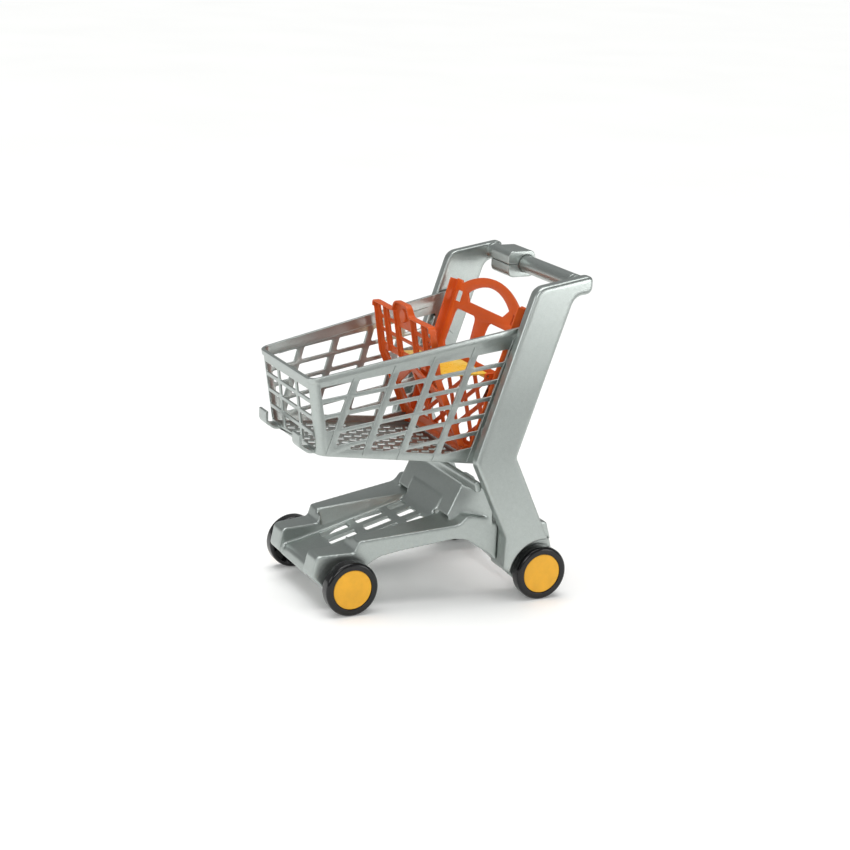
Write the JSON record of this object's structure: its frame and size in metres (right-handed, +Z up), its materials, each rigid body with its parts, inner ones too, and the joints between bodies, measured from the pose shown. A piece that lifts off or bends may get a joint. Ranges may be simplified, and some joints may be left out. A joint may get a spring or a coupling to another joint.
{
  "type": "toy shopping cart",
  "caption": "Child's push-along shopping cart with a tapered lattice basket, folding doll seat, slotted lower tray, side frames, handle bar and capped wheels.",
  "frame": {"origin": "on the floor, under the middle of the bounding box", "axes": "+X forward to the basket's nose, +Y the cart's left, +Z up"},
  "size_m": [0.464, 0.322, 0.543],
  "materials": {
    "silver_plastic": "satin, silver-pigmented",
    "orange_plastic": "gloss",
    "yellow_plastic": "satin",
    "black_plastic": "gloss",
    "cap_yellow": "satin",
    "zinc_steel": "zinc plated"
  },
  "bodies": {
    "cart": {"basket": "silver_plastic", "side_frame_left": "silver_plastic", "side_frame_right": "silver_plastic", "lower_tray": "silver_plastic", "handle_bar": "silver_plastic", "handle_sleeve_upper": "silver_plastic", "handle_sleeve_lower": "silver_plastic", "seat_gate": "orange_plastic", "seat_back_rod": "zinc_steel", "seat_plate_rod": "zinc_steel", "front_axle": "zinc_steel", "rear_axle": "zinc_steel", "axle_washers": "zinc_steel", "axle_push_nuts": "zinc_steel", "basket_screws": "zinc_steel", "tray_screws": "zinc_steel", "sleeve_screws": "zinc_steel"},
    "seat_back": {"seat_back": "orange_plastic"},
    "seat_plate": {"seat_plate": "yellow_plastic"},
    "wheel_front_left": {"wheel_front_left": "black_plastic", "hub_cap_front_left": "cap_yellow"},
    "wheel_front_right": {"wheel_front_right": "black_plastic", "hub_cap_front_right": "cap_yellow"},
    "wheel_rear_left": {"wheel_rear_left": "black_plastic", "hub_cap_rear_left": "cap_yellow"},
    "wheel_rear_right": {"wheel_rear_right": "black_plastic", "hub_cap_rear_right": "cap_yellow"}
  },
  "joints": [
    {"name": "front_left_wheel_roll", "type": "hinge", "parent": "cart", "child": "wheel_front_left", "pos_m": [0.149, 0.119, 0.0447], "axis": [0, 1, 0], "continuous": true},
    {"name": "front_right_wheel_roll", "type": "hinge", "parent": "cart", "child": "wheel_front_right", "pos_m": [0.149, -0.119, 0.0447], "axis": [0, 1, 0], "continuous": true},
    {"name": "rear_left_wheel_roll", "type": "hinge", "parent": "cart", "child": "wheel_rear_left", "pos_m": [-0.176, 0.1495, 0.0447], "axis": [0, 1, 0], "continuous": true},
    {"name": "rear_right_wheel_roll", "type": "hinge", "parent": "cart", "child": "wheel_rear_right", "pos_m": [-0.176, -0.1495, 0.0447], "axis": [0, 1, 0], "continuous": true},
    {"name": "seat_back_fold", "type": "hinge", "parent": "cart", "child": "seat_back", "pos_m": [-0.053, 0, 0.251], "axis": [0, -1, 0], "range_deg": [0, 35]},
    {"name": "seat_plate_fold", "type": "hinge", "parent": "cart", "child": "seat_plate", "pos_m": [-0.093, 0, 0.366], "axis": [0, -1, 0], "range_deg": [0, 105]}
  ],
  "couplings": [
    {"joint": "seat_plate_fold", "follows": "seat_back_fold", "ratio": 3}
  ]
}
